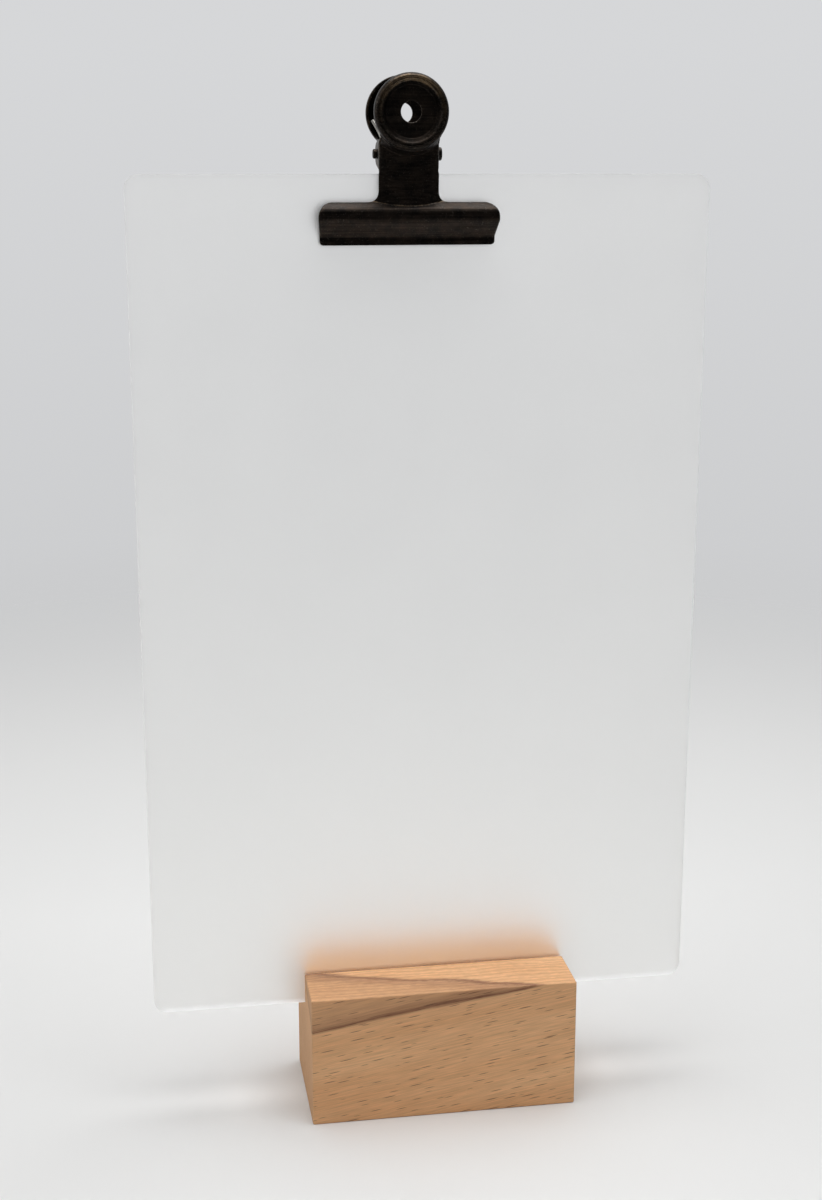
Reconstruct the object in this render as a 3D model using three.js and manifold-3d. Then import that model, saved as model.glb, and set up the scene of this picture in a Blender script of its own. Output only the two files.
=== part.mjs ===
// Tabletop sign holder: a slotted beech block, a frosted acrylic sheet that stands in the slot,
// and a sprung clip with round finger discs on the sheet's top edge.
// Millimetres, +Z up. The front faces -Y. The origin is the middle of the block's underside.

import * as THREE from 'three';
import { mergeVertices } from 'three/addons/utils/BufferGeometryUtils.js';
import Module from 'manifold-3d';

const wasm = await Module();
wasm.setup();

// Block
const blockLength = 98;
const blockDepth = 49;
const blockHeight = 49;
const blockEdgeRadius = 0.7;
const blockEndBevel = 0.4;
const slotDepth = 11.5;
const slotClearance = 0.2; // between the sheet and each wall of the slot

// Sheet
const sheetWidth = 200;
const sheetHeight = 300;
const sheetThickness = 3;
const sheetCornerRadius = 5;
const sheetShift = -4.4; // the sheet's middle from the block's middle, along X

// Clip as a whole
const clipShift = -5.8; // the clip's middle from the sheet's middle, along X
const earSeatClearance = 2.5; // between the ears' round ends and the sheet's top edge
const gripClearance = 0.1; // between each lip and the sheet
const runningClearance = 0.3; // between ears, and between ears and the pin's heads
const plateThickness = 0.9;
const bendRadius = 1.1; // at the middle of the plate

// Jaw, measured from the pin's axis
const jawWidth = 61.6;
const jawDrop = 29.9; // down to the bottom of the lip
const jawHeight = 13.9;
const jawCornerRadius = 4.5;
const lipHeight = 2.9;
const lipInset = 0.8; // the lip is shorter than the jaw at each end
const lipCornerRadius = 1.3;
const bulgeDepth = 5; // the bulge stands this far out from the lip
const bulgeFaceHeight = 3.4;
const shoulderHeight = 2.2;

// Neck and ears, measured from the pin's axis
const neckWidth = 20.4;
const neckFilletRadius = 3.7;
const neckBendRadius = 2.5; // where the neck flares out, at the middle of the plate
const neckCrown = 1.8; // the neck's middle stands this far out from its edges
const neckLean = 1.2; // the neck's top stands this far out from its foot
const flareHeight = 2.4; // the neck flares out to the disc over this height
const webClearance = 0.55; // between an ear's round end and the other plate's neck
const earRadius = 4;
const earDrop = 6; // down to the ear's lowest point, at the neck's edge
const earTop = 5.5; // up to the ear's highest point, at the neck's edge

// Finger disc
const discRadius = 12.5;
const discRise = 13.4; // up from the pin's axis to the disc's centre
const discSpread = 9.4; // out from the sheet's middle to the middle of the dish's floor
const dishWallRun = 1.95; // the dish's sloping wall, from its floor out to the rolled rim
const beadWidth = 1.5; // across the top of the rolled rim, at the middle of the plate
const beadHeight = 2.2;
const beadBendRadius = 0.7;
const rimReturn = 3; // how far the rim's outer wall runs back
const flareReturn = 1; // how far behind the top of the rim the neck joins its wall
const hangHoleRadius = 3.6;

// Hinge pin
const pinRadius = 1.3;
const pinClearance = 0.2; // between the pin and the holes in the ears
const pinHeadRadius = 2.2;
const pinHeadHeight = 1.3;
const pinTailRadius = 1.6;
const pinTailHeight = 1;

// Torsion spring
const wireRadius = 0.6;
const coilClearance = 0.8; // between the pin and the inside of the coil
const turnGap = 0.55; // between neighbouring turns
const coilEndClearance = 0.5; // between the coil and the inner ears, at least
const legRise = 11; // up from the pin's axis to the tips of the legs
const legSplay = 4; // each leg's tip stands this far outside its end of the coil
const legClearance = 0.3; // between a leg's tip and the back of the dish

// Fineness of round shapes
const arcSteps = 4;
const bevelSteps = 2;
const bendSteps = 3;
const neckSteps = 12;
const discSteps = 40;
const pinSteps = 20;
const wireSteps = 3;
const stepsPerTurn = 10;
const springSamples = 900;
const mergeDistance = 1e-4; // points closer than this are one point

// Places that follow from the sizes
const sheetBottom = blockHeight - slotDepth;
const sheetTop = sheetBottom + sheetHeight;
const clipX = sheetShift + clipShift;
const pinZ = sheetTop + earSeatClearance + earRadius;
const lipMiddle = sheetThickness / 2 + gripClearance + plateThickness / 2;
const bulgeMiddle = lipMiddle + bulgeDepth;
const flareMiddle = discSpread + beadHeight - flareReturn;
const lipBottom = -jawDrop;
const lipTop = lipBottom + lipHeight;
const jawTop = lipBottom + jawHeight;
const bulgeTop = jawTop - shoulderHeight;
const bulgeBottom = bulgeTop - bulgeFaceHeight;
const neckBottom = jawTop - shoulderHeight / 2;
const neckEdge = earRadius + webClearance + plateThickness / 2;
const neckTopSpread = neckEdge + neckCrown;
const neckFootSpread = neckTopSpread - neckLean;
const flareTop = discRise - discRadius;
const flareBottom = flareTop - flareHeight;
const frontNeckHalf = neckWidth / 2;
const rearNeckHalf = frontNeckHalf - plateThickness - runningClearance;
const coilRadius = pinRadius + coilClearance + wireRadius;
const coilRoom = 2 * (rearNeckHalf - plateThickness - coilEndClearance - wireRadius);
const turnPitch = 2 * wireRadius + turnGap;
const kneeRise = earRadius + wireRadius; // the legs bend outwards above the ears' round ends
const legTurn = 0.5; // running from one leg to the other takes less than this part of a turn more
const wholeTurns = Math.floor(coilRoom / turnPitch - legTurn);
const cutLength = 2 * jawWidth; // passes right through the clip

const right = new THREE.Vector3(1, 0, 0);
const back = new THREE.Vector3(0, 1, 0);
const front = new THREE.Vector3(0, -1, 0);
const up = new THREE.Vector3(0, 0, 1);

// Finds the arc that rounds one of a row of corners, each given as [x, y, radius]. Two rounded
// neighbours share the edge between them, so a radius is limited by the length that it has there.
function cornerArc(corners, i) {
  const neighbours = [corners.at(i - 1), corners[(i + 1) % corners.length]];
  const corner = new THREE.Vector2(corners[i][0], corners[i][1]);
  const [toBefore, toAfter] = neighbours.map(([x, y]) => new THREE.Vector2(x, y).sub(corner));
  const half = toBefore.angleTo(toAfter) / 2;
  const room = Math.min(
    toBefore.length() / (neighbours[0][2] > 0 ? 2 : 1),
    toAfter.length() / (neighbours[1][2] > 0 ? 2 : 1),
  );
  const radius = Math.min(corners[i][2], room * Math.tan(half));
  const turnsLeft = toAfter.cross(toBefore) > 0;
  toBefore.normalize();
  toAfter.normalize();
  const inward = toBefore.clone().add(toAfter).normalize();
  const centre = inward.multiplyScalar(radius / Math.sin(half)).add(corner);
  const start = toBefore.multiplyScalar(radius / Math.tan(half)).add(corner).sub(centre);
  const sweep = (Math.PI - 2 * half) * (turnsLeft ? 1 : -1);
  return { centre, radius, startAngle: start.angle(), sweep, turnsLeft };
}

// A closed outline from its corners.
function roundedShape(corners) {
  const shape = new THREE.Shape();
  corners.forEach(([x, y, radius], i) => {
    if (radius > 0) {
      const arc = cornerArc(corners, i);
      const endAngle = arc.startAngle + arc.sweep;
      shape.absarc(arc.centre.x, arc.centre.y, arc.radius, arc.startAngle, endAngle, !arc.turnsLeft);
    } else if (i === 0) {
      shape.moveTo(x, y);
    } else {
      shape.lineTo(x, y);
    }
  });
  shape.closePath();
  return shape;
}

// The closed outline of a bent strip of plate, from the corners of its middle line.
function stripOutline(corners) {
  const last = corners.length - 1;
  const leftSide = [];
  const rightSide = [];
  const addPair = (point, leftNormal) => {
    leftSide.push(leftNormal.clone().multiplyScalar(plateThickness / 2).add(point));
    rightSide.unshift(leftNormal.clone().multiplyScalar(-plateThickness / 2).add(point));
  };
  const addEnd = (end, from, to) => {
    const along = new THREE.Vector2(to[0] - from[0], to[1] - from[1]).normalize();
    addPair(new THREE.Vector2(end[0], end[1]), new THREE.Vector2(-along.y, along.x));
  };
  addEnd(corners[0], corners[0], corners[1]);
  for (let i = 1; i < last; i += 1) {
    const { centre, radius, startAngle, sweep, turnsLeft } = cornerArc(corners, i);
    for (let step = 0; step <= bendSteps; step += 1) {
      const angle = startAngle + (sweep * step) / bendSteps;
      const outward = new THREE.Vector2(Math.cos(angle), Math.sin(angle));
      const point = outward.clone().multiplyScalar(radius).add(centre);
      addPair(point, outward.multiplyScalar(turnsLeft ? -1 : 1));
    }
  }
  addEnd(corners[last], corners[last - 1], corners[last]);
  return [...leftSide, ...rightSide];
}

// Extrudes a shape evenly to both sides of its own plane, whose x and y run along two given directions.
function prism(shape, length, xDirection, yDirection, options = { bevelEnabled: false }) {
  const settings = { depth: length, curveSegments: arcSteps, ...options };
  const geometry = new THREE.ExtrudeGeometry(shape, settings);
  geometry.translate(0, 0, -length / 2);
  const along = xDirection.clone().cross(yDirection);
  geometry.applyMatrix4(new THREE.Matrix4().makeBasis(xDirection, yDirection, along));
  return geometry;
}

function toSolid(geometry) {
  geometry.deleteAttribute('normal');
  geometry.deleteAttribute('uv');
  const merged = mergeVertices(geometry, mergeDistance);
  const vertProperties = merged.attributes.position.array;
  const triVerts = new Uint32Array(merged.index.array);
  return new wasm.Manifold(new wasm.Mesh({ numProp: 3, vertProperties, triVerts }));
}

function toGeometry(solid) {
  const { vertProperties, triVerts } = solid.getMesh();
  const geometry = new THREE.BufferGeometry();
  geometry.setAttribute('position', new THREE.BufferAttribute(vertProperties, 3));
  geometry.setIndex(new THREE.BufferAttribute(triVerts, 1));
  geometry.computeVertexNormals();
  return geometry;
}

// The block's section, front to back, with the slot in its top, runs along the block's whole length.
function blockGeometry() {
  const halfDepth = blockDepth / 2;
  const halfSlot = sheetThickness / 2 + slotClearance;
  const section = roundedShape([
    [-halfDepth, 0, blockEdgeRadius],
    [halfDepth, 0, blockEdgeRadius],
    [halfDepth, blockHeight, blockEdgeRadius],
    [halfSlot, blockHeight, blockEdgeRadius],
    [halfSlot, sheetBottom, 0],
    [-halfSlot, sheetBottom, 0],
    [-halfSlot, blockHeight, blockEdgeRadius],
    [-halfDepth, blockHeight, blockEdgeRadius],
  ]);
  const bevel = {
    bevelEnabled: true,
    bevelSize: blockEndBevel,
    bevelThickness: blockEndBevel,
    bevelOffset: -blockEndBevel,
    bevelSegments: bevelSteps,
  };
  return prism(section, blockLength - 2 * blockEndBevel, back, up, bevel);
}

function sheetGeometry() {
  const halfWidth = sheetWidth / 2;
  const outline = roundedShape([
    [-halfWidth, 0, sheetCornerRadius],
    [halfWidth, 0, sheetCornerRadius],
    [halfWidth, sheetHeight, sheetCornerRadius],
    [-halfWidth, sheetHeight, sheetCornerRadius],
  ]);
  return prism(outline, sheetThickness, right, up);
}

// The jaw's section: up the lip, out over the bulge, and in along the shoulder to the neck's edges.
function jawStrip() {
  const section = stripOutline([
    [lipMiddle, lipBottom, 0],
    [lipMiddle, lipTop, bendRadius],
    [bulgeMiddle, bulgeBottom, bendRadius],
    [bulgeMiddle, bulgeTop, bendRadius],
    [neckFootSpread - neckCrown, jawTop, 0],
  ]);
  return prism(new THREE.Shape(section), jawWidth, front, up);
}

// How far the crowned neck falls back from its middle, at a distance across it.
const crownDrop = (x, neckHalf) => neckCrown * Math.min(1, Math.abs(x) / neckHalf) ** 2;

// The neck's section, crowned across: up from the shoulder, leaning out, and flaring to the disc's rim.
function neckStrip(neckHalf) {
  const section = stripOutline([
    [neckFootSpread, neckBottom, 0],
    [neckTopSpread, flareBottom, neckBendRadius],
    [flareMiddle, flareTop, neckBendRadius],
    [flareMiddle, discRise, 0],
  ]);
  const width = 2 * (neckHalf + neckFilletRadius);
  const strip = prism(new THREE.Shape(section), width, front, up, { steps: neckSteps, bevelEnabled: false });
  const { position } = strip.attributes;
  for (let i = 0; i < position.count; i += 1) {
    position.setY(i, position.getY(i) + crownDrop(position.getX(i), neckHalf));
  }
  return strip;
}

// The plate's outline from the front: the wide jaw, and the neck that rises into the disc.
function plateOutline(neckHalf) {
  const jawHalf = jawWidth / 2;
  const lipHalf = jawHalf - lipInset;
  const rightSide = [
    [lipHalf, lipBottom, lipCornerRadius],
    [lipHalf, lipTop, 0],
    [jawHalf, bulgeBottom, 0],
    [jawHalf, jawTop, jawCornerRadius],
    [neckHalf, jawTop, neckFilletRadius],
    [neckHalf, discRise, 0],
  ];
  const leftSide = rightSide.map(([x, z, radius]) => [-x, z, radius]).reverse();
  return prism(roundedShape([...rightSide, ...leftSide]), cutLength, right, up);
}

// The dished disc with its rolled rim and hanging hole, turned about an axis that points outwards.
function fingerDisc() {
  const rimRadius = discRadius - plateThickness / 2;
  const profile = stripOutline([
    [hangHoleRadius, 0, 0],
    [rimRadius - beadWidth - dishWallRun, 0, beadBendRadius],
    [rimRadius - beadWidth, beadHeight, beadBendRadius],
    [rimRadius, beadHeight, beadBendRadius],
    [rimRadius, beadHeight - rimReturn, 0],
  ]);
  profile.reverse();
  const disc = new THREE.LatheGeometry([...profile, profile[0]], discSteps);
  disc.rotateX(Math.PI);
  disc.translate(0, -discSpread, discRise);
  return disc;
}

// A round bar along a given direction, which cuts a hole or trims a plate.
function roundCutter(radius, direction, steps) {
  const cutter = new THREE.CylinderGeometry(radius, radius, cutLength, steps);
  cutter.applyQuaternion(new THREE.Quaternion().setFromUnitVectors(back, direction));
  return cutter;
}

// An ear runs back from the neck's edge and ends round about the pin.
function earPlate(x) {
  const tangentAngle = (corner, side) => corner.angle() + side * Math.acos(earRadius / corner.length());
  const bottomCorner = new THREE.Vector2(neckEdge, -earDrop);
  const topCorner = new THREE.Vector2(flareMiddle - neckCrown, earTop);
  const outline = new THREE.Shape();
  outline.moveTo(bottomCorner.x, bottomCorner.y);
  outline.lineTo(neckEdge, flareBottom);
  outline.lineTo(flareMiddle - neckCrown, flareTop);
  outline.lineTo(topCorner.x, topCorner.y);
  outline.absarc(0, 0, earRadius, tangentAngle(topCorner, 1), tangentAngle(bottomCorner, -1), false);
  outline.closePath();
  return prism(outline, plateThickness, front, up).translate(x, 0, 0);
}

function jawGeometry(neckHalf) {
  const discTrim = roundCutter(discRadius - plateThickness / 2, back, discSteps);
  discTrim.translate(0, 0, discRise);
  const pinHole = roundCutter(pinRadius + pinClearance, right, pinSteps);
  const earX = neckHalf - plateThickness / 2;
  const jaw = toSolid(jawStrip())
    .add(toSolid(neckStrip(neckHalf)))
    .intersect(toSolid(plateOutline(neckHalf)))
    .subtract(toSolid(discTrim))
    .add(toSolid(fingerDisc()))
    .add(toSolid(earPlate(earX)))
    .add(toSolid(earPlate(-earX)))
    .subtract(toSolid(pinHole));
  return toGeometry(jaw);
}

// A rivet: a domed head at the right, a smaller peened tail at the left, turned about X.
function pinGeometry() {
  const shoulder = frontNeckHalf + runningClearance;
  const dome = (radius, height, side) => {
    const points = [];
    for (let step = 0; step <= arcSteps; step += 1) {
      const angle = (step / arcSteps) * (Math.PI / 2);
      points.push(new THREE.Vector2(radius * Math.cos(angle), side * (shoulder + height * Math.sin(angle))));
    }
    points[arcSteps].x = 0;
    return points;
  };
  const profile = [
    ...dome(pinTailRadius, pinTailHeight, -1).reverse(),
    new THREE.Vector2(pinRadius, -shoulder),
    new THREE.Vector2(pinRadius, shoulder),
    ...dome(pinHeadRadius, pinHeadHeight, 1),
  ];
  return new THREE.LatheGeometry(profile, pinSteps).rotateZ(-Math.PI / 2);
}

// The spring's middle line: down the front leg, round the coil, and up the rear leg. Each leg is straight
// up to its knee and bends outwards there. The rear leg is the front one, turned half round.
class TorsionSpringCurve extends THREE.Curve {
  constructor() {
    super();
    const tip = new THREE.Vector2(discSpread - plateThickness / 2 - legClearance - wireRadius, legRise);
    const lean = Math.acos(coilRadius / tip.length()) - tip.angle();
    this.startAngle = Math.PI + lean;
    this.turn = Math.PI - 2 * lean + 2 * Math.PI * wholeTurns;
    this.halfLength = (turnPitch * this.turn) / (4 * Math.PI);
    this.coilLength = coilRadius * this.turn;
    this.coilStart = this.coilPoint(0);
    const straightTip = new THREE.Vector3(this.halfLength, -tip.x, tip.y);
    const kneeShare = (kneeRise - this.coilStart.z) / (tip.y - this.coilStart.z);
    this.knee = this.coilStart.clone().lerp(straightTip, kneeShare);
    this.tip = straightTip.clone().addScaledVector(right, legSplay);
    this.kneeLength = this.coilStart.distanceTo(this.knee);
    this.legLength = this.kneeLength + this.knee.distanceTo(this.tip);
  }

  coilPoint(share) {
    const angle = this.startAngle + share * this.turn;
    const x = (1 - 2 * share) * this.halfLength;
    return new THREE.Vector3(x, coilRadius * Math.cos(angle), coilRadius * Math.sin(angle));
  }

  // A point of the front leg, at a distance along the wire from the coil.
  legPoint(along, target) {
    if (along < this.kneeLength) {
      return target.lerpVectors(this.coilStart, this.knee, along / this.kneeLength);
    }
    const share = (along - this.kneeLength) / (this.legLength - this.kneeLength);
    return target.lerpVectors(this.knee, this.tip, share);
  }

  getPoint(t, target = new THREE.Vector3()) {
    const along = t * (2 * this.legLength + this.coilLength);
    const beyond = along - this.legLength - this.coilLength;
    if (along < this.legLength) {
      return this.legPoint(this.legLength - along, target);
    }
    if (beyond > 0) {
      return this.legPoint(beyond, target).applyAxisAngle(up, Math.PI);
    }
    return target.copy(this.coilPoint((along - this.legLength) / this.coilLength));
  }
}

// The least distance between the wire's surfaces, from points more than half a turn apart along the wire.
function leastSelfGap(curve) {
  const points = curve.getSpacedPoints(springSamples);
  const apart = Math.ceil((Math.PI * coilRadius * springSamples) / curve.getLength());
  let least = Infinity;
  for (let i = 0; i < points.length; i += 1) {
    for (let j = i + apart; j < points.length; j += 1) {
      least = Math.min(least, points[i].distanceTo(points[j]));
    }
  }
  return least - 2 * wireRadius;
}

function springGeometry() {
  const curve = new TorsionSpringCurve();
  const wire = new THREE.Shape().absarc(0, 0, wireRadius, 0, 2 * Math.PI, false);
  const steps = Math.round((stepsPerTurn * curve.getLength()) / (2 * Math.PI * coilRadius));
  const settings = { steps, extrudePath: curve, bevelEnabled: false, curveSegments: wireSteps };
  console.log(`clip_torsion_spring: least gap to itself ${leastSelfGap(curve).toFixed(2)} mm`);
  return new THREE.ExtrudeGeometry(wire, settings);
}

const beech = new THREE.MeshStandardMaterial({ color: 0xb58760, roughness: 0.6, metalness: 0 });
const frostedAcrylic = new THREE.MeshStandardMaterial({
  color: 0xdfe3e4,
  roughness: 0.5,
  metalness: 0,
  transparent: true,
  opacity: 0.45,
});
const darkBronze = new THREE.MeshStandardMaterial({ color: 0x2f2822, roughness: 0.4, metalness: 0.9 });
const springSteel = new THREE.MeshStandardMaterial({ color: 0x8a8781, roughness: 0.35, metalness: 1 });

function namedMesh(name, geometry, material) {
  const mesh = new THREE.Mesh(geometry, material);
  mesh.name = name;
  return mesh;
}

const clip = new THREE.Group();
clip.position.set(clipX, 0, pinZ);
clip.add(namedMesh('clip_front_jaw', jawGeometry(frontNeckHalf), darkBronze));
clip.add(namedMesh('clip_rear_jaw', jawGeometry(rearNeckHalf).rotateZ(Math.PI), darkBronze));
clip.add(namedMesh('clip_hinge_pin', pinGeometry(), darkBronze));
clip.add(namedMesh('clip_torsion_spring', springGeometry(), springSteel));

const sheet = namedMesh('sign_sheet', sheetGeometry(), frostedAcrylic);
sheet.position.set(sheetShift, 0, sheetBottom);

const signHolder = new THREE.Group();
signHolder.add(namedMesh('base_block', blockGeometry(), beech));
signHolder.add(sheet);
signHolder.add(clip);

export default signHolder;
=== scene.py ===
# %% [markdown]
# # A tabletop sign holder
# A beech block with a saw slot, a frosted acrylic sheet that stands in the slot, and a sprung clip
# with round finger discs on the sheet's top edge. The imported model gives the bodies, the joints and
# the plain solids. This lesson dresses each solid with a finer mesh and a material of its own.
# Everything stays in metres and in the model's own frame, so no piece is ever fitted by eye.

# %% Load the frame
import math

import bmesh
import bpy
import numpy as np
from mathutils import Matrix, Vector


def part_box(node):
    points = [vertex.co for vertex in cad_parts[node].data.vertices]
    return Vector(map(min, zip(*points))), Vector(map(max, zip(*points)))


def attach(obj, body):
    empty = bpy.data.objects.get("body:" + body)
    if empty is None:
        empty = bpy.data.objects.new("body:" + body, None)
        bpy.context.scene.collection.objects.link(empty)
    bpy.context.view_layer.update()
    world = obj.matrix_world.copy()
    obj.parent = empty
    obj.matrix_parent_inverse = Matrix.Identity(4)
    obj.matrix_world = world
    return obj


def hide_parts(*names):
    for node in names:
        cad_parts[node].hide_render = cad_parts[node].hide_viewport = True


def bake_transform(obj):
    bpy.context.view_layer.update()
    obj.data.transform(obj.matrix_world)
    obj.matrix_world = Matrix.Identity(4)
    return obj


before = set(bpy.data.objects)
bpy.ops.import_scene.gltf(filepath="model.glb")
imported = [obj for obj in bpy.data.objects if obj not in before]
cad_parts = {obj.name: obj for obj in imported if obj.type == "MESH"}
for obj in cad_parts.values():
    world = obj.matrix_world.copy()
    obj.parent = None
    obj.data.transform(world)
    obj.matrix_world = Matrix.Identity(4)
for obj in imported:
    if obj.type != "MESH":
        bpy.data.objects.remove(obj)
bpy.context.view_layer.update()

MM = 0.001

# %% [markdown]
# ## Camera
# The camera was placed by matching the sheet's and the block's straight edges to the picture. It
# stands to the left of the sheet, level with its top, and looks down by about fourteen degrees. The
# picture is upright, so Blender's 36 mm sensor measures its height.

# %% Camera
CAMERA_PLACE = Vector((-107.97, -602.56, 341.22)) * MM
CAMERA_TURN = math.radians(-9.351)
CAMERA_PITCH = math.radians(13.915)
CAMERA_LENS = 52.985

camera_data = bpy.data.cameras.new("camera")
camera_data.sensor_width = 36
camera_data.lens = CAMERA_LENS
camera_data.clip_start = 0.01
camera = bpy.data.objects.new("camera", camera_data)
camera.location = CAMERA_PLACE
camera.rotation_euler = (math.pi / 2 - CAMERA_PITCH, 0, CAMERA_TURN)
scene = bpy.context.scene
scene.collection.objects.link(camera)
scene.camera = camera
print("camera", round(CAMERA_PLACE.length / MM), "mm from the block")

# %% [markdown]
# ## Helpers for shapes
# Most outlines here are straight runs with rounded bends, as a bending press or a saw leaves them. One
# function turns corners with radii into points, another adds points so that no step is too long, a
# third closes a prism between two outlines, and a fourth makes a mesh object whose place is in its
# mesh, so that the object itself stays unmoved.

# %% Helpers for shapes
def rounded_path(corners, steps):
    """Points along a bent line. Each corner is (a, b, radius), and a radius of 0 is a plain corner."""
    points = []
    for i, (a, b, radius) in enumerate(corners):
        here = np.array((a, b), float)
        if radius == 0:
            points.append(here)
            continue
        before = np.array(corners[i - 1][:2]) - here
        after = np.array(corners[(i + 1) % len(corners)][:2]) - here
        before = before / np.linalg.norm(before)
        after = after / np.linalg.norm(after)
        half = math.acos(np.clip(before @ after, -1, 1)) / 2
        inward = (before + after) / np.linalg.norm(before + after)
        centre = here + inward * radius / math.sin(half)
        start = here + before * radius / math.tan(half) - centre
        end = here + after * radius / math.tan(half) - centre
        first = math.atan2(start[1], start[0])
        sweep = math.remainder(math.atan2(end[1], end[0]) - first, math.tau)
        for angle in first + sweep * np.linspace(0, 1, steps + 1):
            points.append(centre + radius * np.array((math.cos(angle), math.sin(angle))))
    return np.array(points)


def with_short_steps(points, longest):
    """Adds points to an open line so that no step is longer than given."""
    line = [points[0]]
    for a, b in zip(points[:-1], points[1:]):
        count = max(1, math.ceil(np.linalg.norm(b - a) / longest))
        line.extend(a + (b - a) * k / count for k in range(1, count + 1))
    return np.array(line)


def prism_faces(count):
    """Faces between two equal outlines: a wall around, and a cap at each end."""
    wall = [(i, (i + 1) % count, (i + 1) % count + count, i + count) for i in range(count)]
    return wall + [tuple(range(count))[::-1], tuple(range(count, 2 * count))]


def piece_from(name, vertices, faces, material):
    """A mesh object at the origin, from points in millimetres."""
    mesh = bpy.data.meshes.new(name)
    mesh.from_pydata([Vector(v) * MM for v in vertices], [], faces)
    mesh.materials.append(material)
    piece = bpy.data.objects.new(name, mesh)
    scene.collection.objects.link(piece)
    return piece


def merge_and_face_out(mesh, distance=0.002 * MM):
    """Merges doubled points and turns every face outwards."""
    work = bmesh.new()
    work.from_mesh(mesh)
    bmesh.ops.remove_doubles(work, verts=work.verts, dist=distance)
    bmesh.ops.recalc_face_normals(work, faces=work.faces)
    work.to_mesh(mesh)
    work.free()
    mesh.shade_smooth()


def count_triangles(piece):
    evaluated = piece.evaluated_get(bpy.context.evaluated_depsgraph_get())
    return len(evaluated.to_mesh().loop_triangles)


# %% [markdown]
# ## Helpers for materials
# Colours are written as the hex values that a colour picker shows, and one function turns them into the
# linear light that the renderer works in. One more adds a node, sets its options and fills its inputs,
# with a plain value or with a link from another node.

# %% Helpers for materials
def linear(hex_colour):
    """An sRGB hex colour as linear red, green, blue and alpha."""
    channels = [int(hex_colour[i:i + 2], 16) / 255 for i in (1, 3, 5)]
    return [c / 12.92 if c <= 0.04045 else ((c + 0.055) / 1.055) ** 2.4 for c in channels] + [1]


def add_node(tree, kind, inputs=None, **settings):
    """Adds a node. Inputs are filled by name or number, with a value or another node's output."""
    node = tree.nodes.new(kind)
    for name, value in settings.items():
        setattr(node, name, value)
    for key, value in (inputs or {}).items():
        if isinstance(value, bpy.types.NodeSocket):
            tree.links.new(value, node.inputs[key])
        else:
            node.inputs[key].default_value = value
    return node


def empty_material(name):
    material = bpy.data.materials.new(name)
    material.use_nodes = True
    material.node_tree.nodes.clear()
    return material, material.node_tree


# %% [markdown]
# ## Planed beech
# Beech is a pale, pinkish-tan wood. All of its figure is worked out in the solid from Object
# coordinates, in millimetres and along the grain, so that each line runs over an edge as real grain
# does. In this block the grain rises a little to the right, as in a board that was sawn off its axis.

# %% Place in the wood
GRAIN_SLOPE = math.radians(10)

beech, tree = empty_material("planed_beech")
place = add_node(tree, "ShaderNodeTexCoord").outputs["Object"]
wood_mm = add_node(tree, "ShaderNodeVectorMath", {0: place, "Scale": 1 / MM}, operation="SCALE").outputs[0]
grain = add_node(tree, "ShaderNodeMapping", {"Vector": wood_mm, "Rotation": (0, GRAIN_SLOPE, 0)}).outputs[0]
along = add_node(tree, "ShaderNodeSeparateXYZ", {0: grain}).outputs
normal = add_node(tree, "ShaderNodeNewGeometry").outputs["Normal"]
facing = add_node(tree, "ShaderNodeSeparateXYZ", {0: normal}).outputs
faces_end = add_node(tree, "ShaderNodeMath", {0: facing["X"]}, operation="ABSOLUTE").outputs[0]
faces_front = add_node(tree, "ShaderNodeMath", {0: facing["Y"]}, operation="ABSOLUTE").outputs[0]
print("grain rises by", round(math.degrees(GRAIN_SLOPE)), "degrees")

# %% [markdown]
# Fibres are long lines a fraction of a millimetre wide, over slow changes of tone some millimetres wide.
# Both are noise that is stretched along the grain.

# %% Fibres
FIBRE_SIZE = (14, 0.5, 0.5)
TONE_SIZE = (70, 9, 7)

stretched = add_node(
    tree, "ShaderNodeMapping", {"Vector": grain, "Scale": tuple(1 / s for s in FIBRE_SIZE)}
).outputs[0]
fibres = add_node(
    tree, "ShaderNodeTexNoise", {"Vector": stretched, "Scale": 1, "Detail": 3, "Roughness": 0.6}
).outputs["Fac"]
broad = add_node(
    tree, "ShaderNodeMapping", {"Vector": grain, "Scale": tuple(1 / s for s in TONE_SIZE)}
).outputs[0]
tone_change = add_node(
    tree, "ShaderNodeTexNoise", {"Vector": broad, "Scale": 1, "Detail": 1, "Roughness": 0.5}
).outputs["Fac"]
print("fibres", FIBRE_SIZE, "mm, slow tones", TONE_SIZE, "mm")

# %% [markdown]
# The growth rings stand upright in this block, one behind another, so they show as lines along the top and
# as upright stripes on the ends. Each ring darkens slowly and ends sharply, as the tree's summer does.

# %% Growth rings
RING_SPACING = 2.4
RING_WANDER = 6
LATE_WOOD_START = 0.35

bent = add_node(
    tree, "ShaderNodeMath", {0: tone_change, 1: RING_WANDER, 2: along["Y"]}, operation="MULTIPLY_ADD"
).outputs[0]
ring = add_node(tree, "ShaderNodeMath", {0: bent, 1: 1 / RING_SPACING}, operation="MULTIPLY").outputs[0]
ring = add_node(tree, "ShaderNodeMath", {0: ring}, operation="FRACT").outputs[0]
late_wood = add_node(
    tree, "ShaderNodeMapRange", {0: ring, 1: LATE_WOOD_START, 2: 1, 3: 0, 4: 1},
    interpolation_type="SMOOTHSTEP",
).outputs[0]
aside = add_node(tree, "ShaderNodeMath", {0: 1.0, 1: faces_front}, operation="SUBTRACT").outputs[0]
rings = add_node(tree, "ShaderNodeMath", {0: late_wood, 1: aside}, operation="MULTIPLY").outputs[0]
print("a growth ring every", RING_SPACING, "mm")

# %% [markdown]
# Rays are thin ribbons of cells that run from the tree's heart to its bark. The front and rear faces cut
# them across, and they show there as dark dashes a few millimetres long. A stretched Voronoi
# texture has one dash around each cell's point, and each cell's random colour gives its dash a size.
# Each row of cells is shifted against the next, so that the dashes don't stand in columns.

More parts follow.
